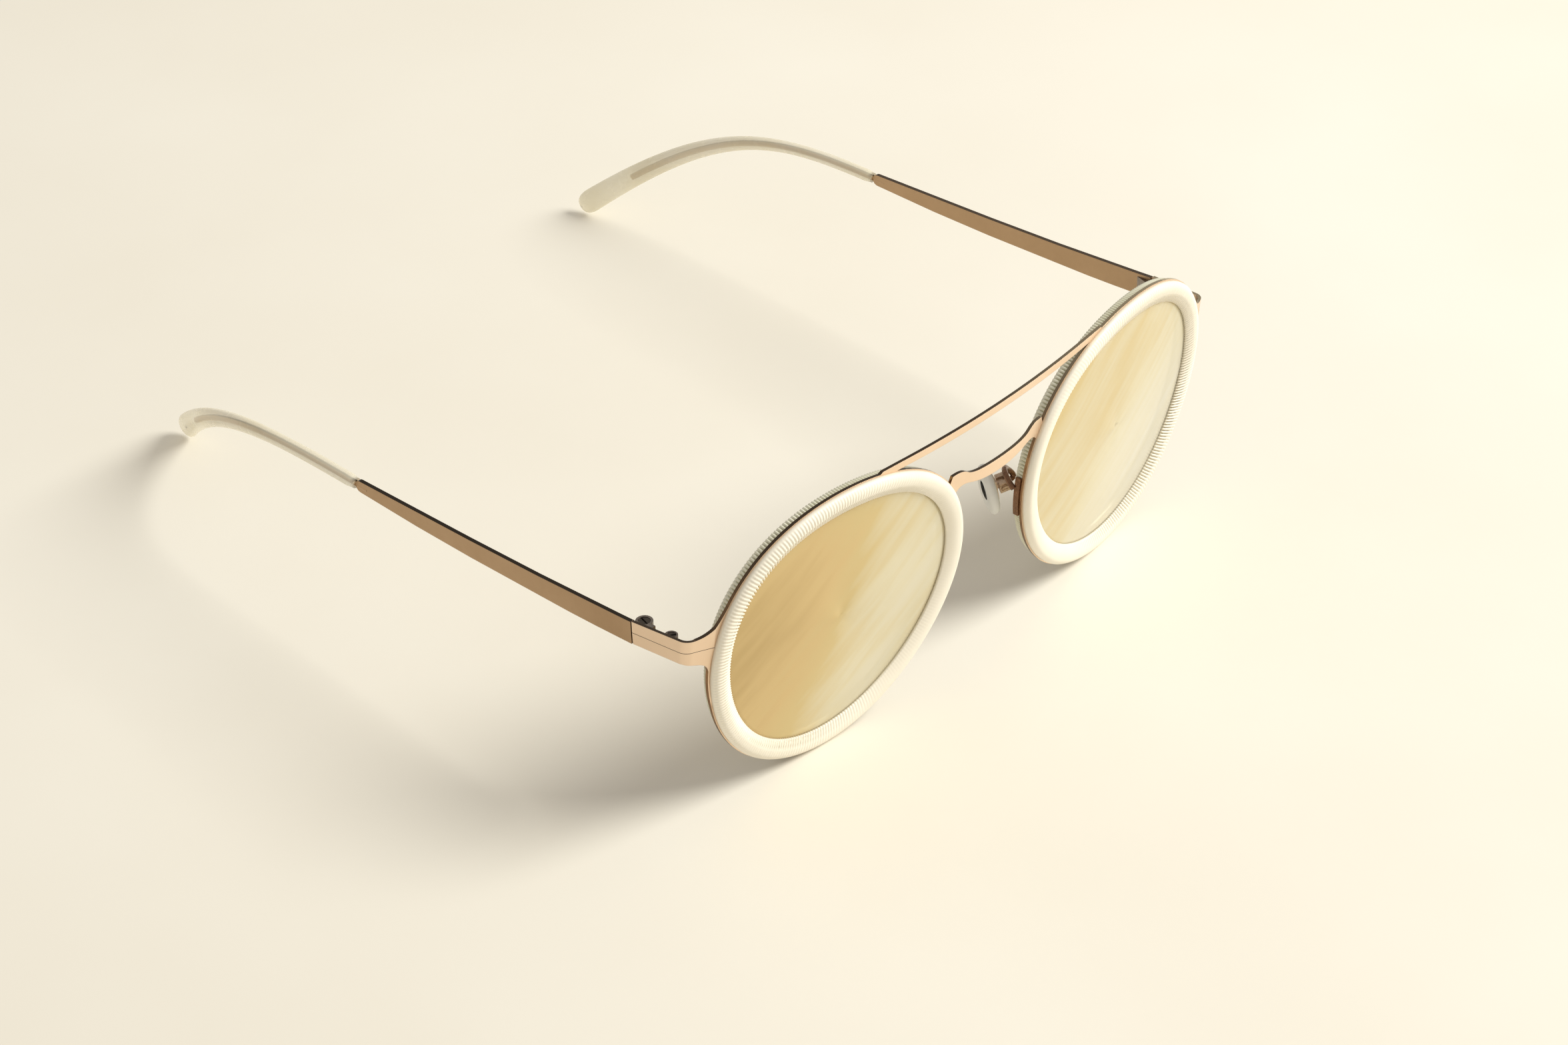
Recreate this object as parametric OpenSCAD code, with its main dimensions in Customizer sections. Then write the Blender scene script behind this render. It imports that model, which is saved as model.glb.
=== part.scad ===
// Round double-bridge sunglasses: a bent sheet-metal front carries an acetate ring in front of and
// behind each lens, and flat temples fold on three-knuckle hinges. Millimetres, +Z up, standing open.
// The wearer's face is on the +Y side. The origin is under the middle of the overall box.

/* [Front] */
// Outer radius of each acetate ring before its outline is shaped
ring_r = 27; // [25:0.5:28]
// Radial width of each acetate ring
ring_w = 3.8; // [3.5:0.1:4.6]
// Distance from the nose line to the centre of each ring
ring_x = 36; // [35:0.25:38]
// Wrap of each rim around the face, in degrees
wrap = 5.8; // [3:0.2:8]
// Forward lean of the front, in degrees
lean = 2.8; // [0:0.2:4]
// Height the front ring stands forward of the sheet
front_ring_h = 1.4; // [1.1:0.1:1.8]
// Depth of the back ring behind the sheet
back_ring_h = 1.6; // [1.5:0.1:2.4]
// Thickness of the sheet front
sheet_t = 0.55; // [0.5:0.05:0.7]
// How far the sheet stands out around the rings
sheet_proud = 0.2; // [0.1:0.05:0.4]

/* [Bridge] */
// Height of the top bar's upper edge at the nose line
top_bar_z = 52.8; // [52.5:0.1:53.1]
// Height of the top bar's face
top_bar_h = 1.45; // [1.25:0.1:1.75]
// Height of the lower bridge's upper edge at the nose line
low_bridge_z = 41.6; // [41:0.1:42.2]
// Height of the lower bridge's face
low_bridge_h = 2.55; // [2.25:0.1:2.85]

/* [End pieces and hinges] */
// Height of the end piece's face
end_h = 4.65; // [4.45:0.1:4.85]
// Height of the end piece's middle, where the rim is split
end_z = 34.5; // [34.3:0.1:34.7]
// Outer radius of the end piece's bend
bend_r = 2.2; // [1.8:0.1:2.6]
// Radius of the hinge knuckles
knuckle_r = 1.45; // [1.35:0.05:1.5]
// Radius of the closing block that pulls the split rim together
lock_r = 1.1; // [1:0.05:1.15]

/* [Temples] */
// Distance from the hinge gap to the end of the flat strip
strip_len = 65; // [60:1:70]
// Height of the strip at the hinge
strip_h = 4.3; // [4.1:0.05:4.5]
// Thickness of the strip
strip_t = 0.75; // [0.7:0.05:0.9]
// Inward turn of the temples, in degrees
converge = 0.8; // [0:0.2:2]
// Width of the paddle at the end of each tip
paddle_h = 4.8; // [4.2:0.1:5.6]

/* [Nose pads] */
// Height of each nose pad
pad_h = 11.5; // [11:0.5:13.5]
// Width of each nose pad
pad_w = 6.8; // [6:0.2:8]
// Distance from the nose line to the middle of each pad
pad_x = 9.5; // [9:0.1:10]
// Height of the middle of each pad
pad_z = 24.9; // [23.7:0.2:25.7]

/* [Hidden] */

$fn = 48;
left = -1;
right = 1;
eps = 0.01;
// Overall depth is centred on the origin: this is the rim centres' distance in front of it
front_y = 70.3;
// Height of the rim centres, which puts the lowest point of the sheet on the ground
rim_z = 27.22;
// Slope of the temples and hinges against the leaning front, in degrees
drop = 6.3;

// Outline of a ring: the radius is modulated by a few harmonics into a rounded, flat-topped panto shape
outline_steps = 120;
wide = 0.02;
skew = -0.008;
corner_cos = -0.01;
corner_sin = 0.026;
square = -0.005;

// Slit and working gaps
slit_t = 0.08;
fold_gap = 0.05;

function outline_r(a) = ring_r * (1 + wide * cos(2 * a) + skew * sin(2 * a)
    + corner_cos * cos(3 * a) + corner_sin * sin(3 * a) + square * cos(4 * a));
function on_outline(a, inset) = (outline_r(a) - inset) * [cos(a), sin(a)];
function outline(inset) = [for (i = [0:outline_steps - 1]) on_outline(360 * i / outline_steps, inset)];

// Point in the middle of a quadratic Bezier span
function bezier2(a, b, c, t) = a * (1 - t) * (1 - t) + b * 2 * t * (1 - t) + c * t * t;
function bezier3(a, b, c, d, t) = bezier2(a, b, c, t) * (1 - t) + bezier2(b, c, d, t) * t;

module on_side(side) {
    if (side < 0) mirror([1, 0, 0]) children();
    else children();
}

// Frame of the leaning front: origin between the rim centres, +Z along the front
module in_front() translate([0, -front_y, rim_z]) rotate([lean, 0, 0]) children();

// Frame of one rim: +X outward, +Y up, +Z out of the lens, with Z = 0 on the sheet's front face
module in_rim() in_front() translate([ring_x, 0, 0]) rotate([90, 0, wrap]) children();

// ---- Sheet front -------------------------------------------------------------------------------
// Height above the rim centres
function up(z) = z - rim_z;
// The sheet is bowed across the nose, gently along the top bar and tightly between the rims
bridge_bow = 9;
bar_bow = 22;
end_root = 62.5;
end_turn = 24;
end_run = 3.6;
leaf_turn = 86.5;
leaf_run = 11;
arc_steps = 10;
function heading(a) = [cos(a), sin(a)];
function leftward(a) = [-sin(a), cos(a)];
root_p = [end_root, (end_root - ring_x) * tan(wrap)];
bend_p = root_p + end_run * heading(end_turn);
bend_c = bend_p + bend_r * leftward(end_turn);
leaf_p = bend_c - bend_r * leftward(leaf_turn);

// Plan of the right half of the sheet, as a line at a given depth behind its front face
function bow_line(half, depth) = let(r = half / sin(wrap), y = (half - ring_x) * tan(wrap) + r * cos(wrap))
    [for (i = [0:arc_steps]) let(a = wrap * i / arc_steps) [0, y] + (r - depth) * [sin(a), -cos(a)]];
function sheet_line(depth) = concat(
    bow_line(bridge_bow, depth),
    [root_p + depth * leftward((wrap + end_turn) / 2)],
    [for (i = [0:arc_steps]) let(a = end_turn + (leaf_turn - end_turn) * i / arc_steps)
        bend_c - (bend_r - depth) * leftward(a)],
    [leaf_p + leaf_run * heading(leaf_turn) + depth * leftward(leaf_turn)]);
function bar_line(depth) = concat(
    bow_line(bar_bow, depth), [[ring_x, 0] + depth * leftward(wrap)]);
function reversed(list) = [for (i = [len(list) - 1:-1:0]) list[i]];
function strip_between(front, back) = concat(front, reversed(back));

rim_hole_inset = 2.2;
// The front outline is drawn square to the nose line, so a rim's width is foreshortened by its wrap
function seen(points) = [for (p = points) [ring_x + p[0] * cos(wrap), p[1]]];

function curve(a, b, c, d) = [for (i = [0:arc_steps]) bezier3(a, b, c, d, i / arc_steps)];

module top_bar_outline() {
    bar_end = 28;
    bar_drop = 0.15;
    crown = up(top_bar_z);
    polygon([
        [-eps, crown], [bar_end / 2, crown - 0.2 * bar_drop], [bar_end, crown - bar_drop],
        [bar_end + 2, crown - top_bar_h], [bar_end / 2, crown - top_bar_h - 0.2 * bar_drop],
        [-eps, crown - top_bar_h]
    ]);
}

// The bridge rises outward into a rounded horn beside each rim, with a small fillet below it
module low_bridge_outline() {
    top = up(low_bridge_z);
    low = top - low_bridge_h;
    polygon(concat(
        curve([-eps, top], [4.6, top], [6.3, top + 0.2], [7.6, top + 0.85]),
        curve([7.6, top + 0.85], [8.5, top + 1.35], [8.9, top + 2.15], [11.5, top + 1.8]),
        [[14, low - 3]],
        curve([11.4, low - 1.5], [10.6, low + 0.6], [9.9, low + 1.9], [7.6, low + 1.25]),
        curve([7.6, low + 1.25], [6, low + 0.7], [4, low], [-eps, low])));
}

// Seen from the side, the end piece's leaf slopes down towards the hinge and narrows a little
leaf_slope = -0.15;
corner_y = 5;
leaf_end_y = corner_y + leaf_run;
leaf_end_half = end_h / 2 - 0.12;
function leaf_mid(y) = up(end_z) + leaf_slope * (y - corner_y);

// Long fillet above the end piece, short fillet below
module end_piece_outline() {
    top = up(end_z) + end_h / 2;
    low = up(end_z) - end_h / 2;
    fold_x = end_root + 2.9;
    polygon(concat(
        curve([59.8, top + 5], [61.8, top + 2.1], [63.2, top + 0.5], [fold_x, top + 0.17]),
        [[fold_x + 10, top + 1], [fold_x + 10, low - 3], [fold_x, low - 3]],
        curve([fold_x, low - 0.3], [63.6, low - 0.6], [63.3, low - 1.3], [63.1, low - 3.4]),
        [[59, low - 3.4], [58, top + 5]]));
}

// Side outline of everything beyond the rim, and the slit that splits it and the rim in two
module leaf_side() {
    half = end_h / 2;
    mid = up(end_z);
    polygon([[-9, mid - half - 0.3], [3.9, mid - half - 0.3], [4.4, mid - half - 0.1], [5.4, mid - half],
        [leaf_end_y, leaf_mid(leaf_end_y) - leaf_end_half], [leaf_end_y, leaf_mid(leaf_end_y) + leaf_end_half],
        [3.9, leaf_mid(3.9) + half], [-9, leaf_mid(3.9) + half]]);
}
module slit_side() {
    half = slit_t / 2;
    polygon([[-9, leaf_mid(4) - half], [4, leaf_mid(4) - half], [leaf_end_y, leaf_mid(leaf_end_y) - half],
        [leaf_end_y, leaf_mid(leaf_end_y) + half], [4, leaf_mid(4) + half], [-9, leaf_mid(4) + half]]);
}
module from_side(x, len) translate([x, 0, 0]) rotate([90, 0, 90]) linear_extrude(len) children();
module from_front() rotate([90, 0, 0]) translate([0, 0, -35]) linear_extrude(70) children();
module from_top() translate([0, 0, -35]) linear_extrude(70) children();

module rims_and_bridge() {
    from_front() difference() {
        union() {
            polygon(seen(outline(-sheet_proud)));
            low_bridge_outline();
            end_piece_outline();
        }
        polygon(seen(outline(rim_hole_inset)));
    }
}

module half_sheet() {
    beyond_rim = end_root + 2.9;
    difference() {
        union() {
            intersection() {
                rims_and_bridge();
                from_top() polygon(strip_between(sheet_line(0), sheet_line(sheet_t)));
                union() {
                    from_front() translate([-1, -35]) square([beyond_rim + 1, 70]);
                    from_side(beyond_rim - eps, 10) leaf_side();
                }
            }
            intersection() {
                from_front() difference() {
                    top_bar_outline();
                    polygon(seen(outline(rim_hole_inset)));
                }
                from_top() polygon(strip_between(bar_line(0), bar_line(sheet_t)));
            }
        }
        from_side(ring_x + ring_r - ring_w, 20) slit_side();
        at_hinge() translate([-5, hinge_gap_y, -10]) cube([20, 10, 20]);
    }
}

module front_plate() {
    color([0.85, 0.62, 0.45]) in_front() {
        half_sheet();
        mirror([1, 0, 0]) half_sheet();
    }
}

// ---- Acetate rings and lenses ------------------------------------------------------------------
// Sweeps a closed profile of [inset from the outline, height] points around the rim
module ring_sweep(profile) {
    n = len(profile);
    points = [for (i = [0:outline_steps - 1]) for (p = profile)
        let(q = on_outline(360 * i / outline_steps, p[0])) [q[0], q[1], p[1]]];
    faces = [for (i = [0:outline_steps - 1]) for (j = [0:n - 1])
        let(i2 = (i + 1) % outline_steps, j2 = (j + 1) % n)
        [i * n + j, i * n + j2, i2 * n + j2, i2 * n + j]];
    polyhedron(points, faces);
}

lens_inset = 3.2;
seat_gap = 0.05;
lens_front = 0.15;
lens_t = 1.9;

// Domed face: [fraction of the ring's width, fraction of its height]
ring_dome = [[0, 0.42], [0.05, 0.66], [0.14, 0.85], [0.27, 0.97], [0.4, 1], [0.55, 0.96], [0.7, 0.85], [0.85, 0.67], [1, 0.42]];

module front_ring(side) {
    spigot = 2.3;
    seat = lens_inset - seat_gap;
    seat_h = lens_front + seat_gap;
    color([0.93, 0.87, 0.72]) on_side(side) in_rim() ring_sweep(concat(
        [[0, 0]],
        [for (p = ring_dome) [p[0] * ring_w, p[1] * front_ring_h]],
        [[ring_w, seat_h], [seat, seat_h], [seat, -sheet_t], [spigot, -sheet_t], [spigot, 0]]));
}

module back_ring(side) {
    seat = lens_inset - seat_gap;
    seat_h = lens_front - lens_t - seat_gap;
    foot = -sheet_t - back_ring_h;
    bevel = 0.4;
    rim_in = 0.08;
    rim_back = 0.25;
    color([0.72, 0.68, 0.5, 0.8]) on_side(side) in_rim() ring_sweep([
        [rim_in, -sheet_t], [seat, -sheet_t], [seat, seat_h], [ring_w, seat_h],
        [ring_w, foot + bevel], [ring_w - bevel, foot], [rim_back + bevel, foot], [rim_back, foot + bevel]
    ]);
}

// The lens is a shallow meniscus: both faces are parts of large spheres
lens_curve_r = 260;
lens_rows = 5;
function sag(p) = sqrt(lens_curve_r * lens_curve_r - p * p) - sqrt(lens_curve_r * lens_curve_r - ring_r * ring_r);
module lens(side) {
    rows = [for (k = [1:lens_rows]) k / lens_rows];
    n = outline_steps;
    front_pts = [for (f = rows) for (i = [0:n - 1])
        let(q = f * on_outline(360 * i / n, lens_inset)) [q[0], q[1], lens_front + sag(norm(q)) - sag(norm(q) / f)]];
    back_pts = [for (p = front_pts) [p[0], p[1], p[2] - lens_t]];
    crown = lens_front + sag(0) - sag(ring_r - lens_inset);
    back_start = lens_rows * n;
    front_mid = 2 * lens_rows * n;
    faces = concat(
        [for (k = [0:lens_rows - 2]) for (i = [0:n - 1]) let(j = (i + 1) % n)
            [k * n + i, (k + 1) * n + i, (k + 1) * n + j, k * n + j]],
        [for (k = [0:lens_rows - 2]) for (i = [0:n - 1]) let(j = (i + 1) % n)
            [back_start + k * n + i, back_start + k * n + j, back_start + (k + 1) * n + j, back_start + (k + 1) * n + i]],
        [for (i = [0:n - 1]) let(j = (i + 1) % n) [front_mid, i, j]],
        [for (i = [0:n - 1]) let(j = (i + 1) % n) [front_mid + 1, back_start + j, back_start + i]],
        [for (i = [0:n - 1]) let(j = (i + 1) % n, e = (lens_rows - 1) * n)
            [e + i, back_start + e + i, back_start + e + j, e + j]]);
    color([0.62, 0.42, 0.12, 0.8]) on_side(side) in_rim()
        polyhedron(concat(front_pts, back_pts, [[0, 0, crown], [0, 0, crown - lens_t]]), faces);
}

// ---- Rim locks: a split block and its screw pull the two halves of each end piece together --------
// Point beside the leaf, a given distance along it and away from its inner face
function leaf_inner(run, away) = leaf_p + run * heading(leaf_turn) + (sheet_t + away) * leftward(leaf_turn);
lock_c = leaf_inner(2.8, lock_r);
lock_h = 3;
lock_sink = 0.15;
lock_bore_r = 0.55;
lock_head_r = 0.8;
head_h = 0.5;
slot_w = 0.28;

module at_lock() translate([lock_c[0], lock_c[1], leaf_mid(lock_c[1]) - lock_sink]) rotate([-drop, 0, 0]) children();

// Thickness of the solder film under a foot
solder = 0.03;

// A barrel with a flat foot that reaches the inner face of the leaf, from one run to another
module foot_block(r, reach, from, to, z0, h) {
    translate([0, 0, z0]) cylinder(h = h, r = r);
    translate([0, 0, z0]) rotate([0, 0, leaf_turn]) translate([from, -reach, 0]) cube([to - from, reach, h]);
}

module rim_lock(side) {
    half = lock_h / 2;
    foot = 0.8 * lock_r;
    color([0.2, 0.18, 0.16]) on_side(side) in_front() at_lock() difference() {
        union() {
            foot_block(lock_r, lock_r - solder, -foot, foot, slit_t + lock_sink, half - slit_t - lock_sink);
            foot_block(lock_r, lock_r - solder, -foot, foot, -half, half - slit_t + lock_sink);
        }
        translate([0, 0, -half - eps]) cylinder(h = lock_h + 1, r = lock_bore_r);
        translate([0, 0, half - head_h]) cylinder(h = 1, r = lock_head_r + 0.03);
    }
}

// Cheese-head screw standing on z = 0 at the underside of its head
module screw(shaft_r, shaft_len, head_r) {
    difference() {
        union() {
            translate([0, 0, -shaft_len]) cylinder(h = shaft_len + eps, r = shaft_r);
            cylinder(h = head_h - 0.08, r = head_r);
        }
        translate([-head_r - 1, -slot_w / 2, head_h - 0.35]) cube([2 * head_r + 2, slot_w, 1]);
    }
}

module rim_lock_screws() {
    half = lock_h / 2;
    color([0.16, 0.15, 0.14]) for (side = [left, right]) on_side(side) in_front() at_lock()
        translate([0, 0, half - head_h]) rotate([0, 0, 35]) screw(lock_bore_r - 0.01, lock_h - head_h, lock_head_r);
}

// ---- Hinges --------------------------------------------------------------------------------------
hinge_reach = knuckle_r + 0.35;
hinge_run = 8.9;
hinge_c = leaf_inner(hinge_run, hinge_reach);
hinge_gap_y = 0.45;
hinge_h = 3;
hinge_sink = 0.25;
knuckle_h = 0.9;
hinge_bore_r = 0.62;
hinge_shaft_r = 0.6;
mid_bore_r = 0.65;
hinge_head_r = 1;

// Frame of one hinge: +Z along its axis, Z = 0 at the middle of the strip's height, +Y along the temple
module at_hinge() translate([hinge_c[0], hinge_c[1], leaf_mid(hinge_c[1])]) rotate([-drop, 0, 0]) children();
module at_knuckles() at_hinge() translate([0, 0, -hinge_sink]) children();

// Two knuckles on a plate soldered inside the end piece
module front_hinge(side) {
    low = -hinge_h / 2;
    foot = -2.3;
    leaf_t = 0.28;
    color([0.18, 0.17, 0.16]) on_side(side) in_front() at_knuckles() difference() {
        union() {
            foot_block(knuckle_r, hinge_reach - solder, foot, hinge_gap_y - 0.15, -low - knuckle_h, knuckle_h);
            foot_block(knuckle_r, hinge_reach - solder, foot, hinge_gap_y - 0.15, low, knuckle_h);
            rotate([0, 0, leaf_turn]) translate([foot, solder - hinge_reach, low])
                cube([hinge_gap_y - 0.15 - foot, leaf_t, hinge_h]);
        }
        translate([0, 0, low - eps]) cylinder(h = hinge_h + 1, r = hinge_bore_r);
        translate([0, 0, -low - head_h]) cylinder(h = 1, r = hinge_head_r + 0.04);
    }
}

module hinge_screws() {
    top = hinge_h / 2 - head_h;
    color([0.14, 0.13, 0.12]) for (side = [left, right]) on_side(side) in_front() at_knuckles()
        translate([0, 0, top]) rotate([0, 0, 107]) screw(hinge_shaft_r, hinge_h - head_h, hinge_head_r);
}

// ---- Temples -------------------------------------------------------------------------------------
temple_gap = 0.25;
strip_y = hinge_gap_y + temple_gap;
// Outer face of the strip, in the hinge's frame, flush with the leaf at the gap
strip_x = leaf_p[0] + (hinge_c[1] + strip_y - leaf_p[1]) / tan(leaf_turn) - hinge_c[0];

// Frame of one temple: +Y along the strip, +Z across its height, X = 0 on its outer face
module in_temple() in_front() at_hinge() translate([strip_x, strip_y, 0]) rotate([0, 0, converge]) children();

strip_end_r = 1.1;
strip_end_z = -0.63;
core_r = 0.6;
core_fit = 0.03;
tip_steps = 24;
tip_path = [[-strip_t / 2, strip_len + 0.2, strip_end_z], [-0.5, 92, 0.3], [-1.3, 105, -2], [-14, 130.5, -24.2]];
function tip_at(t) = bezier3(tip_path[0], tip_path[1], tip_path[2], tip_path[3], t);
function unit(v) = v / norm(v);

// Sweeps elliptical sections along points: sizes holds each section's half height and half thickness
module sweep(path, sizes, sides, ref) {
    n = len(path);
    ring = [for (i = [0:n - 1]) let(
        t = unit(path[min(i + 1, n - 1)] - path[max(i - 1, 0)]),
        a = unit(cross(t, ref)), b = cross(a, t))
        for (j = [0:sides - 1]) let(q = 360 * j / sides)
            path[i] + a * sizes[i][0] * cos(q) + b * sizes[i][1] * sin(q)];
    faces = concat(
        [for (i = [0:n - 2]) for (j = [0:sides - 1]) let(k = (j + 1) % sides)
            [i * sides + j, i * sides + k, (i + 1) * sides + k, (i + 1) * sides + j]],
        [[for (j = [sides - 1:-1:0]) j]],
        [[for (j = [0:sides - 1]) (n - 1) * sides + j]]);
    polyhedron(ring, faces);
}

// Upper and lower edges of the strip as [distance from the hinge gap, height], for a 4.3 mm strip
strip_top = [[-3, 2.15], [0, 2], [3, 1.85], [21, 1.1], [37, 0.74], [strip_len - strip_end_r, 0.48]];
strip_low = [[strip_len - strip_end_r, -1.75], [50, -2.44], [37, -2.74], [14, -2.74], [8, -2.6], [0, -2.3], [-3, -2.2]];
module strip_profile() {
    k = strip_h / 4.3;
    polygon([for (p = concat(strip_top, strip_low)) [p[0], k * p[1]]]);
    translate([strip_len - strip_end_r, strip_end_z]) circle(strip_end_r);
}

module temple(side) {
    core_end = 0.86;
    core_path = [for (i = [-1:tip_steps]) tip_at(core_end * i / tip_steps)];
    color([0.85, 0.62, 0.45]) on_side(side) in_temple() {
        difference() {
            translate([-strip_t, 0, 0]) rotate([90, 0, 90]) linear_extrude(strip_t) strip_profile();
            rotate([0, 0, -converge]) translate([-10, -20, -10]) cube([20, 20, 20]);
        }
        sweep(core_path, [for (p = core_path) [core_r, core_r * 0.7]], 12, [1, 0, 0]);
    }
}

// Rounded end of a tip: the last part of its length closes like an ellipse
function closing(t, from) = t < from ? 1 : sqrt(max(0.3, 1 - pow((t - from) / (1 - from), 2)));
function tip_size(t) = let(swell = pow(max(0, t - 0.25) / 0.75, 1.25), end = closing(t, 0.965), start = t < 0.02 ? 0.8 : 1)
    [(1.15 + (paddle_h / 2 - 1.15) * swell) * end * start, (1.2 + 0.15 * swell) * end * start];

module temple_tip(side) {
    knots = concat([for (i = [0:tip_steps - 1]) i / tip_steps], [0.972, 0.984, 0.993, 1]);
    hole = [for (i = [-1:tip_steps]) tip_at(0.87 * i / tip_steps)];
    color([0.93, 0.88, 0.68, 0.85]) on_side(side) in_temple() difference() {
        sweep([for (t = knots) tip_at(t)], [for (t = knots) tip_size(t)], 20, [1, 0, 0]);
        sweep(hole, [for (p = hole) [core_r + core_fit, core_r * 0.7 + core_fit]], 12, [1, 0, 0]);
    }
}

// Middle knuckle, its tongue, and the wedge soldered inside the strip
module temple_hinge(side) {
    tall = hinge_h - 2 * knuckle_h - 2 * fold_gap;
    inner = strip_x - strip_t - 0.08;
    swing = knuckle_r + 0.12;
    wedge_end = strip_y + 2.9;
    color([0.18, 0.17, 0.16]) on_side(side) in_front() at_knuckles() {
        difference() {
            union() {
                translate([0, 0, -tall / 2]) cylinder(h = tall, r = knuckle_r);
                translate([0, 0, -tall / 2]) linear_extrude(tall)
                    polygon([[0, 0.3], [1.3, strip_y + 0.05], [inner, strip_y + 0.05], [inner, 2.2], [0.2, 1.3]]);
            }
            translate([0, 0, -tall / 2 - eps]) cylinder(h = tall + 1, r = mid_bore_r);
        }
        // Full-height wedge, kept outside the circle that the front knuckles fill
        difference() {
            translate([0, 0, -hinge_h / 2]) linear_extrude(hinge_h)
                polygon([[inner, strip_y + 0.05], [1.2, strip_y + 0.05], [0.9, 1.4], [inner, wedge_end]]);
            translate([0, 0, -hinge_h]) cylinder(h = 2 * hinge_h, r = swing);
        }
    }
}

// ---- Nose pads -----------------------------------------------------------------------------------
pad_y = 5.3;
pad_t = 1.8;
splay = 28;
frontal = 18;
pad_c = [pad_x, pad_y, up(pad_z)];
plate_t = 0.4;
tab_t = 0.8;
pivot_x = pad_t / 2 + plate_t + 1.3;
pivot_r = 0.35;
tab_bore_r = 0.4;
box_half = 1.25;
box_wall_x = pivot_x + 0.85;
box_back_x = box_wall_x + 0.4;

// Frame of one nose pad: X = 0 in the middle of its thickness, +X away from the nose, +Z up the pad
module in_pad() in_front() translate(pad_c) rotate([0, -frontal, 0]) rotate([0, 0, -splay]) children();
away_dir = [cos(splay) * cos(frontal), -sin(splay), cos(splay) * sin(frontal)];

module nose_pad(side) {
    egg = [for (i = [0:35]) let(a = 10 * i)
        [pad_w / 2 * cos(a) * (1 - 0.16 * sin(a)), pad_h / 2 * sin(a)]];
    color([0.9, 0.9, 0.86, 0.5]) on_side(side) in_pad()
        rotate([90, 0, 90]) translate([0, 0, -pad_t / 2]) linear_extrude(pad_t) polygon(egg);
}

module pad_mount(side) {
    color([0.8, 0.8, 0.78]) on_side(side) in_pad() {
        translate([pad_t / 2, -1.3, -2.4]) cube([plate_t, 2.6, 4.8]);
        difference() {
            union() {
                translate([pad_t / 2 + plate_t - eps, -tab_t / 2, -0.7]) cube([1.3, tab_t, 1.4]);
                translate([pivot_x, tab_t / 2, 0]) rotate([90, 0, 0]) cylinder(h = tab_t, r = 0.7);
            }
            translate([pivot_x, 5, 0]) rotate([90, 0, 0]) cylinder(h = 10, r = tab_bore_r);
        }
    }
}

module pad_box(side) {
    front_x = pad_t / 2 + plate_t + 0.45;
    slot = tab_t + 0.1;
    color([0.6, 0.4, 0.28]) on_side(side) in_pad() difference() {
        translate([front_x, -box_half, -1.15]) cube([box_back_x - front_x, 2 * box_half, 2.3]);
        translate([front_x - 1, -slot / 2, -2]) cube([box_wall_x - front_x + 1, slot, 4]);
        translate([pivot_x, 5, 0]) rotate([90, 0, 0]) cylinder(h = 10, r = pivot_r + 0.01);
    }
}

module pad_screws() {
    head = 0.35;
    color([0.5, 0.42, 0.36]) for (side = [left, right]) on_side(side) in_pad()
        translate([pivot_x, 0, 0]) rotate([90, 0, 0]) {
            translate([0, 0, -box_half - 0.1]) cylinder(h = 2 * box_half + 0.1, r = pivot_r);
            difference() {
                translate([0, 0, box_half]) cylinder(h = head, r = 0.65);
                translate([-1, -0.1, box_half + head - 0.15]) cube([2, 0.2, 1]);
            }
        }
}

arm_r = 0.5;
arm_steps = 9;
arm_end = pad_c + (box_back_x + 0.03) * away_dir;
arm_points = [
    [7.6, -1.3, up(29.6)], [7.7, 0.9, up(31)], [9.8, 3.1, up(30.9)],
    [11.6, 3.5, up(29.1)], [13.2, 3.9, up(27.4)], arm_end + 1.8 * away_dir, arm_end];

// A strip soldered along the ring's nose side behind the sheet, and the wire that loops back from it
module pad_arm(side) {
    path = concat(
        [for (i = [0:arm_steps - 1]) bezier3(arm_points[0], arm_points[1], arm_points[2], arm_points[3], i / arm_steps)],
        [for (i = [0:arm_steps]) bezier3(arm_points[3], arm_points[4], arm_points[5], arm_points[6], i / arm_steps)]);
    base_low = -3.6;
    base_high = 4.6;
    color([0.45, 0.28, 0.18]) on_side(side) {
        in_rim() translate([0, 0, -sheet_t - 1.05]) linear_extrude(1) intersection() {
            difference() {
                polygon(outline(-0.45));
                polygon(outline(-0.02));
            }
            translate([-ring_r - 3, base_low]) square([6, base_high - base_low]);
        }
        in_front() sweep(path, [for (p = path) [arm_r, arm_r]], 12, [0, 0, 1]);
    }
}

front_plate();
front_ring(left);  // front_ring_left
front_ring(right);  // front_ring_right
back_ring(left);  // back_ring_left
back_ring(right);  // back_ring_right
lens(left);  // lens_left
lens(right);  // lens_right
rim_lock(left);  // rim_lock_left
rim_lock(right);  // rim_lock_right
rim_lock_screws();
front_hinge(left);  // front_hinge_left
front_hinge(right);  // front_hinge_right
hinge_screws();
pad_arm(left);  // pad_arm_left
pad_arm(right);  // pad_arm_right
pad_box(left);  // pad_box_left
pad_box(right);  // pad_box_right
pad_mount(left);  // pad_mount_left
pad_mount(right);  // pad_mount_right
nose_pad(left);  // nose_pad_left
nose_pad(right);  // nose_pad_right
pad_screws();
temple(left);  // temple_left
temple(right);  // temple_right
temple_hinge(left);  // temple_hinge_left
temple_hinge(right);  // temple_hinge_right
temple_tip(left);  // temple_tip_left
temple_tip(right);  // temple_tip_right
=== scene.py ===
import math

import bpy
import numpy as np
from mathutils import Matrix, Vector


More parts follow.
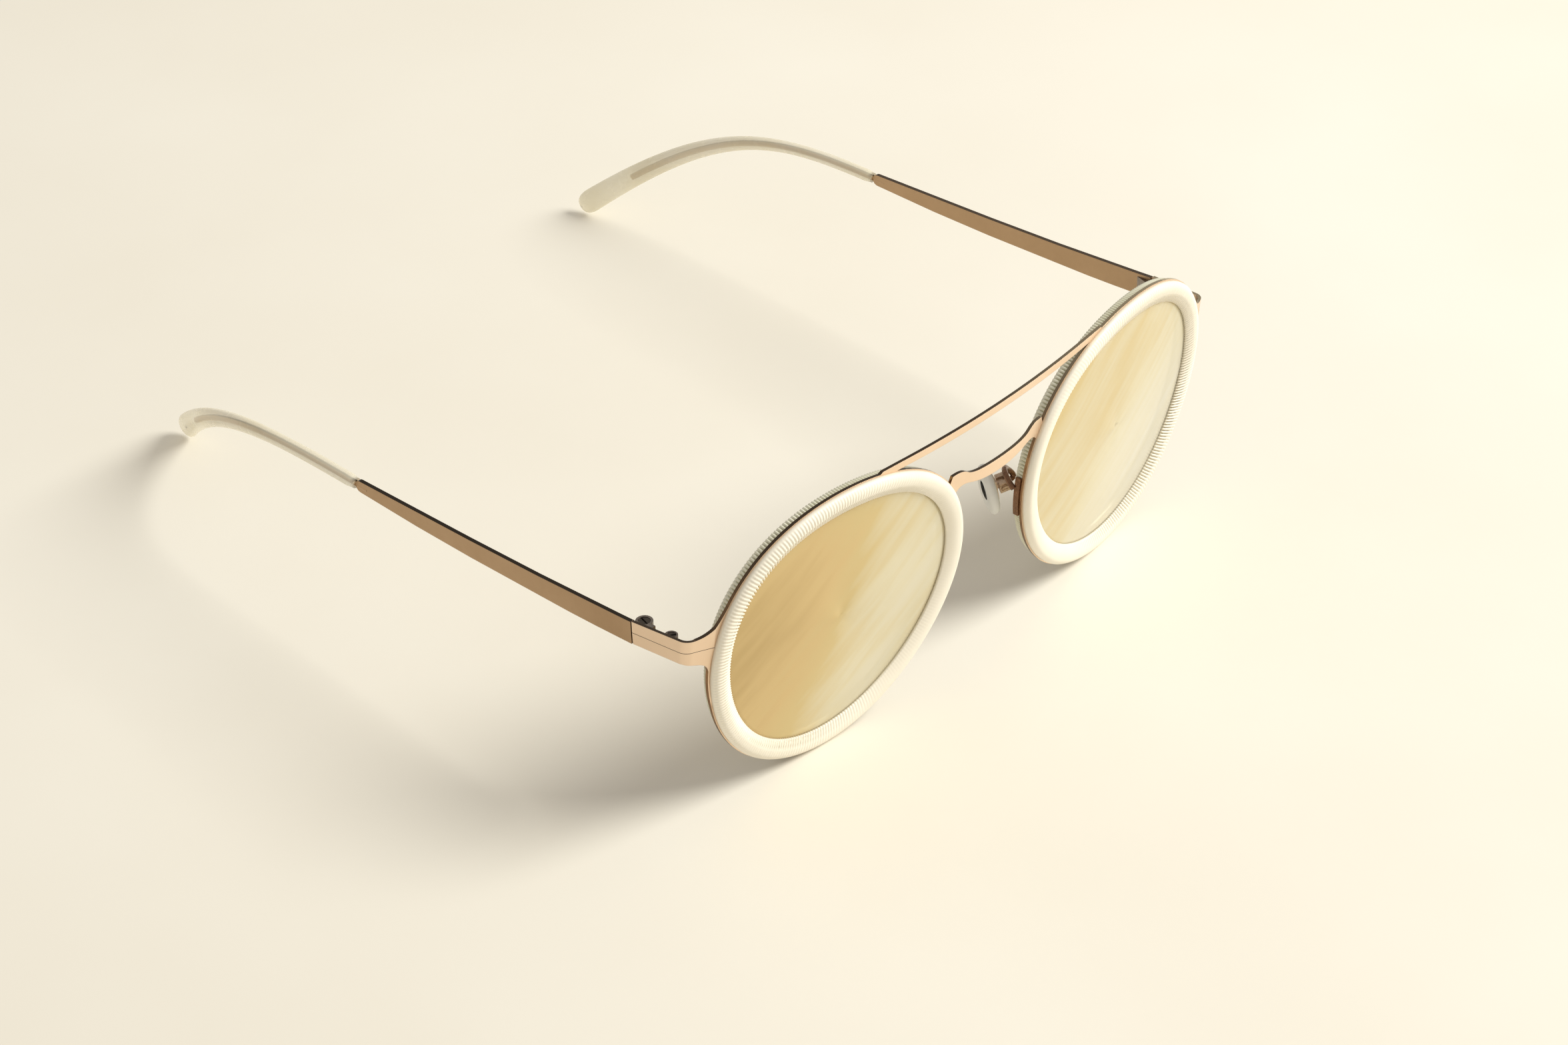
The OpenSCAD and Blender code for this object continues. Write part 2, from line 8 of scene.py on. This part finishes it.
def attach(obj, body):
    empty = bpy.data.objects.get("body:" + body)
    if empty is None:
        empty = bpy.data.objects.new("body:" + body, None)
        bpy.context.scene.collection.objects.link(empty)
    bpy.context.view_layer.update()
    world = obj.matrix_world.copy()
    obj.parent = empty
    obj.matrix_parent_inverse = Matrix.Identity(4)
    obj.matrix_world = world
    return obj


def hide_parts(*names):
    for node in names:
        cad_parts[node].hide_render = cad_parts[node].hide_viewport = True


MM = 0.001
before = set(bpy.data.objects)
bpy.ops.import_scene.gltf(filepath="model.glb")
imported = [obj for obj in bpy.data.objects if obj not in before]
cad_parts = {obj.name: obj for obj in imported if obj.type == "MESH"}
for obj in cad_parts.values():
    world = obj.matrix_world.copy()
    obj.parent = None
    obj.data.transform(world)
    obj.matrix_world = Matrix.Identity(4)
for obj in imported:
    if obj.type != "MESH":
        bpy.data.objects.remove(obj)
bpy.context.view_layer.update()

# ---- Design sizes, in millimetres and degrees, as in the part's source --------------------------
FRONT_Y = 70.3
RIM_Z = 27.22
RING_X = 36
RING_R = 27
RING_W = 3.8
WRAP = 5.8
LEAN = 2.8
SHEET_T = 0.55
FRONT_RING_H = 1.4
BACK_RING_H = 1.6
WIDE, SKEW, CORNER_COS, CORNER_SIN, SQUARE = 0.02, -0.008, -0.01, 0.026, -0.005
LENS_INSET = 3.2
LENS_FRONT = 0.15
LENS_T = 1.9
LENS_CURVE_R = 260
SEAT_GAP = 0.05
SIDES = {"left": -1, "right": 1}


def turn(axis, degrees):
    return Matrix.Rotation(math.radians(degrees), 4, axis)


FRONT = Matrix.Translation((0, -FRONT_Y, RIM_Z)) @ turn("X", LEAN)
RIM = FRONT @ Matrix.Translation((RING_X, 0, 0)) @ turn("Z", WRAP) @ turn("X", 90)


def placed(points, matrix, side):
    """Points of the right-hand part, moved by matrix, mirrored for the left, in metres."""
    m = np.array(matrix)
    out = points @ m[:3, :3].T + m[:3, 3]
    out[..., 0] *= side
    return out * MM


# ---- Materials ------------------------------------------------------------------------------------
class Shade:
    """A node material with one Principled shader and a few procedural layers."""

    def __init__(self, name, color, roughness, metallic=0.0, **sockets):
        self.material = bpy.data.materials.new(name)
        self.material.use_nodes = True
        self.tree = self.material.node_tree
        self.shader = self.tree.nodes["Principled BSDF"]
        self.set("Base Color", (*color, 1))
        self.set("Roughness", roughness)
        self.set("Metallic", metallic)
        for socket, value in sockets.items():
            self.set(socket.replace("_", " "), value)
        self.coords = self.node("ShaderNodeTexCoord")

    def set(self, socket, value):
        self.shader.inputs[socket].default_value = value

    def node(self, kind, **settings):
        n = self.tree.nodes.new(kind)
        for key, value in settings.items():
            setattr(n, key, value)
        return n

    def link(self, a, b):
        self.tree.links.new(a, b)

    def noise(self, scale, detail=3.0, stretch=(1, 1, 1), turned=(0, 0, 0), roughness=0.5):
        mapping = self.node("ShaderNodeMapping", vector_type="TEXTURE")
        mapping.inputs["Scale"].default_value = stretch
        mapping.inputs["Rotation"].default_value = [math.radians(v) for v in turned]
        self.link(self.coords.outputs["Object"], mapping.inputs["Vector"])
        n = self.node("ShaderNodeTexNoise")
        n.inputs["Scale"].default_value = scale
        n.inputs["Detail"].default_value = detail
        n.inputs["Roughness"].default_value = roughness
        self.link(mapping.outputs["Vector"], n.inputs["Vector"])
        return n.outputs["Fac"]

    def ramp(self, fac, stops):
        r = self.node("ShaderNodeValToRGB")
        ends = r.color_ramp.elements
        while len(ends) < len(stops):
            ends.new(0.5)
        for e, (pos, color) in zip(ends, stops):
            e.position = pos
            e.color = (*color, 1) if len(color) == 3 else color
        self.link(fac, r.inputs["Fac"])
        return r.outputs["Color"]

    def span(self, fac, low, high, to_low=0.0, to_high=1.0):
        m = self.node("ShaderNodeMapRange", interpolation_type="SMOOTHSTEP")
        for socket, value in {"From Min": low, "From Max": high, "To Min": to_low, "To Max": to_high}.items():
            m.inputs[socket].default_value = value
        self.link(fac, m.inputs["Value"])
        return m.outputs["Result"]

    def mix(self, fac, a, b):
        m = self.node("ShaderNodeMix", data_type="RGBA")
        self.link(fac, m.inputs["Factor"])
        self.link(a, m.inputs[6])
        self.link(b, m.inputs[7])
        return m.outputs[2]

    def calc(self, operation, *terms):
        m = self.node("ShaderNodeMath", operation=operation)
        for k, term in enumerate(terms):
            self.link(term, m.inputs[k])
        return m.outputs[0]

    def to(self, output, socket):
        self.link(output, self.shader.inputs[socket])

    def bump(self, fac, strength, distance):
        b = self.node("ShaderNodeBump")
        b.inputs["Strength"].default_value = strength
        b.inputs["Distance"].default_value = distance
        self.link(fac, b.inputs["Height"])
        self.to(b.outputs["Normal"], "Normal")

    def axis_of(self, coords_output, axis, absolute=False):
        s = self.node("ShaderNodeSeparateXYZ")
        self.link(self.coords.outputs[coords_output], s.inputs[0])
        out = s.outputs[axis]
        return self.calc("ABSOLUTE", out) if absolute else out


EASE_R = 0.1 * MM
FACE_SPAN = (0.3, 0.55)
LEAF_BLEND = 0.4 * MM


def coated_metal(name, face, face_dark, edge, edge_far_painted_light, edge_warm, painted_highlight_color, leaf_x=None):
    """Satin coating on the broad faces, dark polished metal on the cut edges, and painted light on both.

    The broad faces of the temples face sideways. Those of the front face forward, up to leaf_x, and
    sideways beyond it, where the sheet is bent back.
    """
    s = Shade(name, face, 0.34, 0.75)
    eased = s.node("ShaderNodeBevel", samples=8)
    eased.inputs["Radius"].default_value = EASE_R
    nx, ny, nz = (s.axis_of("Normal", k, True) for k in "XYZ")
    if leaf_x is None:
        on_face = s.span(nx, *FACE_SPAN)
    else:
        beyond = s.span(s.axis_of("Object", "X", True), leaf_x - LEAF_BLEND, leaf_x + LEAF_BLEND)
        bent_back = s.calc("MULTIPLY", beyond, s.span(nx, *FACE_SPAN))
        on_face = s.calc("MAXIMUM", s.span(ny, *FACE_SPAN), bent_back)
    mottle = s.noise(900, 4)
    cloud = s.noise(70, 3)
    face_color = s.ramp(cloud, [(0.3, face_dark), (0.7, face)])
    # Painted reflection: edges that face up take a dark tone standing in for a dark room mirrored in them,
    # paling towards +X as painted light. Side edges keep a warm metal tone.
    upward = s.span(nz, 0.25, 0.9)
    side_edge = s.ramp(mottle, [(0.2, edge_warm), (0.9, [c * 1.25 for c in edge_warm])])
    painted_reflection_top_edge = s.ramp(s.span(s.axis_of("Object", "X"), -0.015, 0.05), [(0.0, edge), (1.0, edge_far_painted_light)])
    edge_with_painted_reflection = s.mix(upward, side_edge, painted_reflection_top_edge)
    # Painted highlight: faces tilted upwards, such as the bends of the sheet, take a lighter tint.
    painted_highlight_mask = s.calc("MULTIPLY", on_face, s.span(nz, 0.3, 0.6))
    painted_highlight = s.ramp(mottle, [(0.2, [c * 0.97 for c in painted_highlight_color]), (0.9, painted_highlight_color)])
    face_color = s.mix(painted_highlight_mask, face_color, painted_highlight)
    s.to(s.mix(on_face, edge_with_painted_reflection, face_color), "Base Color")
    satin = s.span(on_face, 0, 1, 0.16, 0.36)
    s.to(s.calc("ADD", satin, s.span(mottle, 0.3, 0.7, -0.04, 0.04)), "Roughness")
    grain = s.node("ShaderNodeBump")
    grain.inputs["Strength"].default_value = 0.12
    grain.inputs["Distance"].default_value = 0.00002
    s.link(mottle, grain.inputs["Height"])
    s.link(eased.outputs["Normal"], grain.inputs["Normal"])
    s.to(grain.outputs["Normal"], "Normal")
    return s.material


def dark_metal(name, color, roughness, metallic=0.9):
    s = Shade(name, color, roughness, metallic)
    worn = s.noise(1300, 5, roughness=0.7)
    rubbed, bare = [c * 1.5 for c in color], [min(1, c * 3) for c in color]
    s.to(s.ramp(worn, [(0.3, color), (0.62, rubbed), (0.8, bare)]), "Base Color")
    s.to(s.span(worn, 0.3, 0.75, roughness - 0.08, roughness + 0.14), "Roughness")
    s.bump(s.noise(2400, 2), 0.15, 0.00001)
    return s.material


def acetate(name, low, high, roughness, groove=None, **sockets):
    """Polished acetate with faint clouds in it, and painted shade darkening its grooves."""
    s = Shade(name, high, roughness, **sockets)
    body = s.ramp(s.noise(120, 4), [(0.3, low), (0.7, high)])
    if groove:
        # Painted shade: hollow spots, found by pointiness, take the darker groove colour.
        depth = s.span(s.node("ShaderNodeNewGeometry").outputs["Pointiness"], 0.45, 0.5)
        body = s.mix(depth, s.ramp(s.noise(120, 2), [(0.3, groove), (0.7, [c * 1.08 for c in groove])]), body)
    s.to(body, "Base Color")
    s.to(s.span(s.noise(600, 3), 0.3, 0.7, roughness - 0.05, roughness + 0.07), "Roughness")
    s.bump(s.noise(1500, 2), 0.05, 0.00001)
    return s.material


STREAK_TURN = (0, 52, 0)
# Reflected tones from the shaded end of the lens to the lit one
MIRROR_TONES = [(0.0, (0.56, 0.4, 0.17)), (0.22, (0.68, 0.5, 0.23)), (0.45, (0.7, 0.55, 0.26)),
                (0.7, (0.81, 0.74, 0.53)), (1.0, (0.89, 0.86, 0.75))]


def mirror_glass(name):
    """Gold flash mirror: ochre away from the light, paler towards it, with faint streaks."""
    s = Shade(name, (0.7, 0.5, 0.2), 0.2, 0.3, IOR=1.5)
    # Painted reflection: the tone follows place across the lenses in X and grows paler towards their bottom.
    x = s.axis_of("Object", "X")
    across = s.calc("ADD", s.span(x, -0.066, -0.008, 0.04, 0.68), s.span(x, 0, 0.014, 0, -0.19))
    across = s.calc("ADD", across, s.span(x, 0.014, 0.062, 0, 0.2))
    down = s.span(s.axis_of("Object", "Z"), 0.002, 0.05, 0.14, 0)
    streaks = s.noise(70, 3, (1, 1, 9), STREAK_TURN)
    fine_streaks = s.noise(420, 2, (1, 1, 14), STREAK_TURN)
    patches = s.noise(38, 2, (1, 1, 2.2), STREAK_TURN)
    tilt = s.calc("ADD", across, down)
    for layer, depth in ((patches, 0.13), (streaks, 0.05), (fine_streaks, 0.06)):
        tilt = s.calc("ADD", tilt, s.span(layer, 0.25, 0.75, -depth, depth))
    s.to(s.ramp(tilt, MIRROR_TONES), "Base Color")
    s.to(s.span(tilt, 0, 1, 0.93, 0.76), "Alpha")
    s.to(s.span(streaks, 0.3, 0.7, 0.15, 0.28), "Roughness")
    return s.material


def clear_rubber(name, color):
    s = Shade(name, color, 0.4, IOR=1.41, Alpha=0.88)
    s.to(s.ramp(s.noise(200, 3), [(0.3, [c * 0.9 for c in color]), (0.7, color)]), "Base Color")
    s.to(s.span(s.noise(500, 2), 0.3, 0.7, 0.32, 0.48), "Roughness")
    return s.material


# Upward edges carry painted reflection, dark near -X and paler towards +X; the lightest face tint is a
# painted highlight.
FRONT_METAL = coated_metal(
    "coated_front", face=(0.87, 0.67, 0.49), face_dark=(0.81, 0.61, 0.43), edge=(0.07, 0.048, 0.03),
    edge_far_painted_light=(0.42, 0.34, 0.22), edge_warm=(0.3, 0.17, 0.08), painted_highlight_color=(0.96, 0.85, 0.68), leaf_x=64.9 * MM)
TEMPLE_METAL = coated_metal(
    "coated_temple", face=(0.48, 0.32, 0.185), face_dark=(0.43, 0.28, 0.155), edge=(0.03, 0.02, 0.011),
    edge_far_painted_light=(0.1, 0.07, 0.045), edge_warm=(0.12, 0.07, 0.035), painted_highlight_color=(0.62, 0.46, 0.3))
GUNMETAL = dark_metal("gunmetal", (0.2, 0.17, 0.145), 0.24)
SCREW_METAL = dark_metal("screw_metal", (0.07, 0.058, 0.047), 0.28)
BROWN_METAL = dark_metal("brown_plate", (0.17, 0.09, 0.05), 0.3)
PAD_METAL = dark_metal("pad_metal", (0.5, 0.37, 0.26), 0.3, 0.45)
# The last colour given to CREAM and OLIVE is painted shade for their grooves.
CREAM = acetate("cream_acetate", (0.9, 0.84, 0.7), (0.94, 0.88, 0.75), 0.42, (0.5, 0.44, 0.29))
OLIVE = acetate("olive_acetate", (0.78, 0.76, 0.59), (0.85, 0.83, 0.68), 0.28, (0.42, 0.4, 0.24))
# Painted shade: a dark olive on the back ring's walls around the lens, standing in for the shadow between
# lens and ring.
OLIVE_PAINTED_SHADE = acetate("olive_painted_shade", (0.17, 0.155, 0.055), (0.24, 0.21, 0.09), 0.3)
MIRROR = mirror_glass("gold_mirror")
TIP = acetate("tip_acetate", (0.97, 0.9, 0.68), (1.0, 0.95, 0.79), 0.22, Alpha=0.62)
PAD = clear_rubber("pad_silicone", (0.93, 0.93, 0.89))

NODE_MATERIALS = {"front_plate": FRONT_METAL, "rim_lock_screws": SCREW_METAL, "hinge_screws": SCREW_METAL,
                  "pad_screws": PAD_METAL}
PAIRED_MATERIALS = {"temple": TEMPLE_METAL, "rim_lock": GUNMETAL, "front_hinge": GUNMETAL,
                    "temple_hinge": GUNMETAL, "pad_arm": BROWN_METAL, "pad_box": PAD_METAL,
                    "pad_mount": PAD_METAL}
for kind, material in PAIRED_MATERIALS.items():
    for label in SIDES:
        NODE_MATERIALS[f"{kind}_{label}"] = material
for node, material in NODE_MATERIALS.items():
    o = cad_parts[node]
    o.data.materials.clear()
    o.data.materials.append(material)


# ---- Meshes ---------------------------------------------------------------------------------------
def solid_mesh(name, points, faces, materials, face_material=None):
    mesh = bpy.data.meshes.new(name)
    mesh.from_pydata(points.reshape(-1, 3).tolist(), [], faces)
    for m in materials:
        mesh.materials.append(m)
    if face_material is not None:
        mesh.polygons.foreach_set("material_index", face_material)
    mesh.polygons.foreach_set("use_smooth", [True] * len(mesh.polygons))
    mesh.update()
    o = bpy.data.objects.new(name, mesh)
    bpy.context.scene.collection.objects.link(o)
    return o


def tube_faces(n, m, side, closed):
    """Quads over n sections of m points each, wound outward on both sides of the mirror."""
    faces = []
    for i in range(n if closed else n - 1):
        a, b = i * m, (i + 1) % n * m
        for j in range(m):
            k = (j + 1) % m
            quad = (a + j, a + k, b + k, b + j)
            faces.append(quad if side > 0 else quad[::-1])
    return faces


def outline_r(a):
    return RING_R * (1 + WIDE * np.cos(2 * a) + SKEW * np.sin(2 * a) + CORNER_COS * np.cos(3 * a)
                     + CORNER_SIN * np.sin(3 * a) + SQUARE * np.cos(4 * a))


TEETH = 264
FOOT_INSET = 2.3
FINE_RIB, ROPE_RIB, ROPE_GROWTH, SCALLOP = 0.11, 0.05, 0.24, 0.3
ROPE_LEAN = 1.3
DOME_SHARE = 0.985
STEPS_PER_TOOTH = 8
ANGLES = np.arange(TEETH * STEPS_PER_TOOTH) * (2 * np.pi / (TEETH * STEPS_PER_TOOTH))


def tooth(phase, sharpness=1.0):
    """Groove depth from 0 on a ridge to 1 at the bottom of a groove."""
    return (0.5 - 0.5 * np.cos(phase)) ** sharpness


def ring_piece(name, side, inset, height, materials, face_material_of=None):
    r = outline_r(ANGLES)[:, None] - inset
    points = np.stack([r * np.cos(ANGLES)[:, None], r * np.sin(ANGLES)[:, None], height], axis=-1)
    n, m = inset.shape
    indices = None if face_material_of is None else [face_material_of[j] for _ in range(n) for j in range(m)]
    return solid_mesh(name, placed(points, RIM, side), tube_faces(n, m, -side, True), materials, indices)


def front_ring(name, side):
    dome = np.concatenate([np.linspace(0, 0.4, 9) ** 1.3 * 0.4 ** -0.3, np.linspace(0.45, 1, 14)])
    w = np.where(dome < 0.4, (dome - 0.4) / 0.4, (dome - 0.4) / 0.6)
    rise = DOME_SHARE * FRONT_RING_H * (0.42 + 0.58 * (1 - np.abs(w) ** np.where(dome < 0.4, 3.2, 2.0)))
    phase = TEETH * ANGLES[:, None]
    inner = np.clip((dome - 0.5) / 0.06, 0, 1)
    rope_phase = phase + 2 * np.pi * ROPE_LEAN * np.clip(dome - 0.5, 0, 1)
    # The rope pattern is crisp above and towards the temple, and softer below and beside the nose
    crisp = np.clip(0.5 + 0.62 * np.cos(ANGLES[:, None] - math.radians(20)), 0.03, 1)
    fine = FINE_RIB * crisp * np.clip(dome / 0.1, 0, 1) * tooth(phase) * (1 - inner)
    rope_depth = ROPE_RIB + ROPE_GROWTH * np.clip((dome - 0.5) / 0.2, 0, 1)
    rope = rope_depth * tooth(rope_phase, 1.4) * inner * crisp
    scallop = SCALLOP * crisp * np.clip((dome - 0.8) / 0.2, 0, 1) * tooth(rope_phase)
    inset = RING_W * dome[None, :] - scallop
    height = rise[None, :] - fine - rope
    seat = LENS_INSET - SEAT_GAP
    seat_h = LENS_FRONT + SEAT_GAP
    n = len(ANGLES)
    last = 0.5 * scallop[:, -1:]
    # The underside: past the lens lip, down the seat, and back up to the face that rests on the rim
    under_inset = np.tile([seat, seat, FOOT_INSET, FOOT_INSET], (n, 1))
    under_height = np.tile([seat_h, seat_h, -SHEET_T, -SHEET_T, 0.0], (n, 1))
    outer_corner = np.zeros((n, 1))
    return ring_piece(name, side, np.concatenate([outer_corner, inset, RING_W - last, under_inset], axis=1),
                      np.concatenate([outer_corner, height, under_height], axis=1), [CREAM])


def back_ring(name, side):
    seat = LENS_INSET - SEAT_GAP
    seat_h = LENS_FRONT - LENS_T - SEAT_GAP
    foot = -SHEET_T - BACK_RING_H
    n = len(ANGLES)
    # Each profile point: inset, height, groove depth, and 1 where the wall faces the lens and takes the
    # painted shade
    profile = [
        (0.08, -SHEET_T, 0, 0), (seat, -SHEET_T, 0, 1), (seat, seat_h, 0, 1), (RING_W, seat_h, 0, 1),
        (RING_W, foot + 0.4, 0, 0), (RING_W - 0.12, foot + 0.12, 0, 0), (RING_W - 0.4, foot, 0, 0),
        (0.65, foot, 0.06, 0), (0.4, foot + 0.1, 0.17, 0), (0.27, foot + 0.36, 0.2, 0),
        (0.2, foot + 0.7, 0.2, 0), (0.12, foot + 1.3, 0.2, 0), (0.09, -SHEET_T - 0.12, 0.14, 0),
        (0.08, -SHEET_T - 0.03, 0.0, 0)]
    groove = tooth(TEETH * ANGLES, 0.8)[:, None]
    p = np.array(profile)
    inset = p[None, :, 0] + groove * p[None, :, 2]
    upward_depth = np.where(p[:, 1] <= foot + 1e-6, p[:, 2], 0)
    height = np.repeat(p[None, :, 1], n, axis=0) + groove * upward_depth[None, :]
    return ring_piece(name, side, inset, height, [OLIVE, OLIVE_PAINTED_SHADE], [int(q[3]) for q in profile])


def lens_piece(name, side, material):
    rows = np.linspace(0.04, 1, 20)
    angles = np.linspace(0, 2 * np.pi, 240, endpoint=False)
    edge = outline_r(angles) - LENS_INSET

    def sag(p):
        return np.sqrt(LENS_CURVE_R ** 2 - p ** 2)

    front = np.stack([np.stack([f * edge * np.cos(angles), f * edge * np.sin(angles),
                                LENS_FRONT + sag(f * edge) - sag(edge)], axis=-1) for f in rows])
    back = front[::-1].copy()
    back[..., 2] -= LENS_T
    points = np.concatenate([front, back]).transpose(1, 0, 2)
    n, m = points.shape[:2]
    faces = tube_faces(n, m, side, True)
    for layer in (0, m - 1):
        loop = [i * m + layer for i in range(n)]
        faces.append(loop if (layer == 0) == (side > 0) else loop[::-1])
    centre_walls = {0, m - 1}
    faces = [f for f in faces if len(f) != 4 or {corner % m for corner in f} != centre_walls]
    return solid_mesh(name, placed(points.copy(), RIM, side), faces, [material])


RINGS = (("front_ring", front_ring, "cream_acetate"), ("back_ring", back_ring, "olive_acetate"))
for label, side in SIDES.items():
    for kind, build, slot in RINGS:
        piece = build(f"{kind}_ribbed_{label}", side)
        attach(piece, "front")
        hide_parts(f"{kind}_{label}")
    glass = lens_piece(f"lens_curved_{label}", side, MIRROR)
    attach(glass, "front")
    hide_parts(f"lens_{label}")

# ---- Temple tips ----------------------------------------------------------------------------------
DROP = 6.3
CONVERGE = 0.8
STRIP_LEN = 65
STRIP_T = 0.75
PADDLE_H = 4.8
STRIP_END_Z = -0.63
TIP_PATH = np.array([[-STRIP_T / 2, STRIP_LEN + 0.2, STRIP_END_Z], [-0.5, 92, 0.3], [-1.3, 105, -2],
                     [-14, 130.5, -24.2]])
TIP_CLEARANCE = 0.99
CLOSE_FROM = 0.965
CLOSE_POWER = 2.8


def heading(degrees):
    return np.array([math.cos(math.radians(degrees)), math.sin(math.radians(degrees))])


END_ROOT, END_TURN, END_RUN, BEND_R = 62.5, 24, 3.6, 2.2
LEAF_TURN, LEAF_SLOPE, CORNER_Y, END_Z = 86.5, -0.15, 5, 34.5
HINGE_RUN, HINGE_REACH, HINGE_GAP_Y, TEMPLE_GAP = 8.9, 1.8, 0.45, 0.25


def temple_matrix():
    """Frame of the right temple: +Y along the strip, X = 0 on its outer face."""
    root = np.array([END_ROOT, (END_ROOT - RING_X) * math.tan(math.radians(WRAP))])
    bend_center = root + END_RUN * heading(END_TURN) + BEND_R * heading(END_TURN + 90)
    leaf = bend_center - BEND_R * heading(LEAF_TURN + 90)
    hinge = leaf + HINGE_RUN * heading(LEAF_TURN) + (SHEET_T + HINGE_REACH) * heading(LEAF_TURN + 90)
    strip_y = HINGE_GAP_Y + TEMPLE_GAP
    strip_x = leaf[0] + (hinge[1] + strip_y - leaf[1]) / math.tan(math.radians(LEAF_TURN)) - hinge[0]
    up = END_Z - RIM_Z + LEAF_SLOPE * (hinge[1] - CORNER_Y)
    return (FRONT @ Matrix.Translation((hinge[0], hinge[1], up)) @ turn("X", -DROP)
            @ Matrix.Translation((strip_x, strip_y, 0)) @ turn("Z", CONVERGE))


def tip_piece(name, side):
    steps, around = 96, 40
    end_steps = np.sin(np.linspace(0.1, math.pi / 2, 14))
    t = np.concatenate([np.linspace(0, 0.95, steps), 0.95 + 0.05 * end_steps])
    s = 1 - t
    weights = np.stack([s ** 3, 3 * s * s * t, 3 * s * t * t, t ** 3], axis=1)
    path = weights @ TIP_PATH
    swell = (np.clip(t - 0.25, 0, 1) / 0.75) ** 1.25
    closing = np.clip((t - CLOSE_FROM) / (1 - CLOSE_FROM), 0, 1)
    blunt = np.maximum(1 - closing ** CLOSE_POWER, 0.002) ** (1 / CLOSE_POWER)
    collar = np.clip(0.8 + t * 10, 0.8, 1)
    half_h = (1.15 + (PADDLE_H / 2 - 1.15) * swell) * blunt * collar * TIP_CLEARANCE
    half_t = (1.2 + 0.15 * swell) * blunt * collar * TIP_CLEARANCE
    along = np.gradient(path, axis=0)
    along /= np.linalg.norm(along, axis=1)[:, None]
    a = np.cross(along, [1, 0, 0])
    a /= np.linalg.norm(a, axis=1)[:, None]
    b = np.cross(a, along)
    q = np.linspace(0, 2 * np.pi, around, endpoint=False)
    c, d = np.cos(q), np.sin(q)
    points = (path[:, None] + a[:, None] * (half_h[:, None] * c)[..., None]
              + b[:, None] * (half_t[:, None] * d)[..., None])
    n = len(t)
    faces = tube_faces(n, around, -side, False)
    first, last = list(range(around)), [(n - 1) * around + j for j in range(around)]
    faces += [first, last[::-1]] if side < 0 else [first[::-1], last]
    return solid_mesh(name, placed(points, temple_matrix(), side), faces, [TIP])


# ---- Nose pads ------------------------------------------------------------------------------------
PAD_X, PAD_Y, PAD_Z, PAD_T, PAD_W, PAD_H, SPLAY, FRONTAL = 9.5, 5.3, 24.9, 1.8, 6.8, 11.5, 28, 18
PAD_FRAME = (FRONT @ Matrix.Translation((PAD_X, PAD_Y, PAD_Z - RIM_Z))
             @ turn("Y", -FRONTAL) @ turn("Z", -SPLAY))


def pad_piece(name, side):
    """A soft-edged oval cushion, narrower towards its top."""
    q = np.linspace(0, 2 * np.pi, 72, endpoint=False)
    rings = []
    for lift in np.linspace(-math.pi / 2, math.pi / 2, 19)[1:-1]:
        spread = 0.62 + 0.38 * math.cos(lift) ** 0.5
        x = PAD_T / 2 * math.sin(lift)
        rings.append(np.stack([np.full_like(q, x), spread * PAD_W / 2 * np.cos(q) * (1 - 0.16 * np.sin(q)),
                               spread * PAD_H / 2 * np.sin(q)], axis=-1))
    rings = [rings[0] * [0.96, 0.5, 0.5]] + rings + [rings[-1] * [0.98, 0.5, 0.5]]
    points = np.stack(rings)
    n, m = points.shape[:2]
    faces = tube_faces(n, m, side, False)
    first, last = list(range(m)), [(n - 1) * m + j for j in range(m)]
    faces += [first[::-1], last] if side < 0 else [first, last[::-1]]
    return solid_mesh(name, placed(points, PAD_FRAME, side), faces, [PAD])


for label, side in SIDES.items():
    tip = tip_piece(f"tip_smooth_{label}", side)
    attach(tip, f"arm_{label}")
    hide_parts(f"temple_tip_{label}")
    cushion = pad_piece(f"pad_cushion_{label}", side)
    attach(cushion, f"pad_{label}")
    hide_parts(f"nose_pad_{label}")

# ---- Stage, light and camera ------------------------------------------------------------------------
floor_shade = Shade("pale_floor", (0.9, 0.86, 0.76), 0.6)
cloth = floor_shade.ramp(floor_shade.noise(9, 5), [(0.3, (0.86, 0.81, 0.7)), (0.7, (0.9, 0.86, 0.76))])
floor_shade.to(cloth, "Base Color")
bpy.ops.mesh.primitive_plane_add(size=8)
floor = bpy.context.object
floor.name = "floor"
floor.data.materials.append(floor_shade.material)

world = bpy.data.worlds.new("soft_room")
world.use_nodes = True
world.node_tree.nodes["Background"].inputs["Color"].default_value = (1.0, 0.95, 0.89, 1)
world.node_tree.nodes["Background"].inputs["Strength"].default_value = 0.45
bpy.context.scene.world = world


def area_light(name, place, aim, width, power, color):
    data = bpy.data.lights.new(name, "AREA")
    data.shape = "DISK"
    data.size = width
    data.energy = power
    data.color = color
    o = bpy.data.objects.new(name, data)
    o.location = place
    o.rotation_euler = (Vector(aim) - Vector(place)).to_track_quat("-Z", "Y").to_euler()
    bpy.context.scene.collection.objects.link(o)
    return o


area_light("window", (1.05, -0.93, 1.3), (0, 0, 0), 1.0, 35, (1.0, 0.995, 0.95))

VIEW_TURN, VIEW_RISE, VIEW_ROLL = -48.87, 37.31, 1.26
CAMERA_AT = Vector((-0.3928, -0.37029, 0.40083))
az, el, roll = (math.radians(v) for v in (VIEW_TURN, VIEW_RISE, VIEW_ROLL))
back = Vector((math.sin(az) * math.cos(el), -math.cos(az) * math.cos(el), math.sin(el)))
level = Vector((math.cos(az), math.sin(az), 0))
upward = back.cross(level)
right = level * math.cos(roll) + upward * math.sin(roll)
top = back.cross(right)
camera_data = bpy.data.cameras.new("photo_camera")
camera_data.lens = 84.8
camera_data.sensor_width = 36
camera_data.clip_start = 0.01
camera = bpy.data.objects.new("photo_camera", camera_data)
pose = Matrix((right, top, back)).transposed().to_4x4()
pose.translation = CAMERA_AT
camera.matrix_world = pose
bpy.context.scene.collection.objects.link(camera)
bpy.context.scene.camera = camera
bpy.context.scene.view_settings.view_transform = "Standard"
bpy.context.scene.view_settings.exposure = 0.03
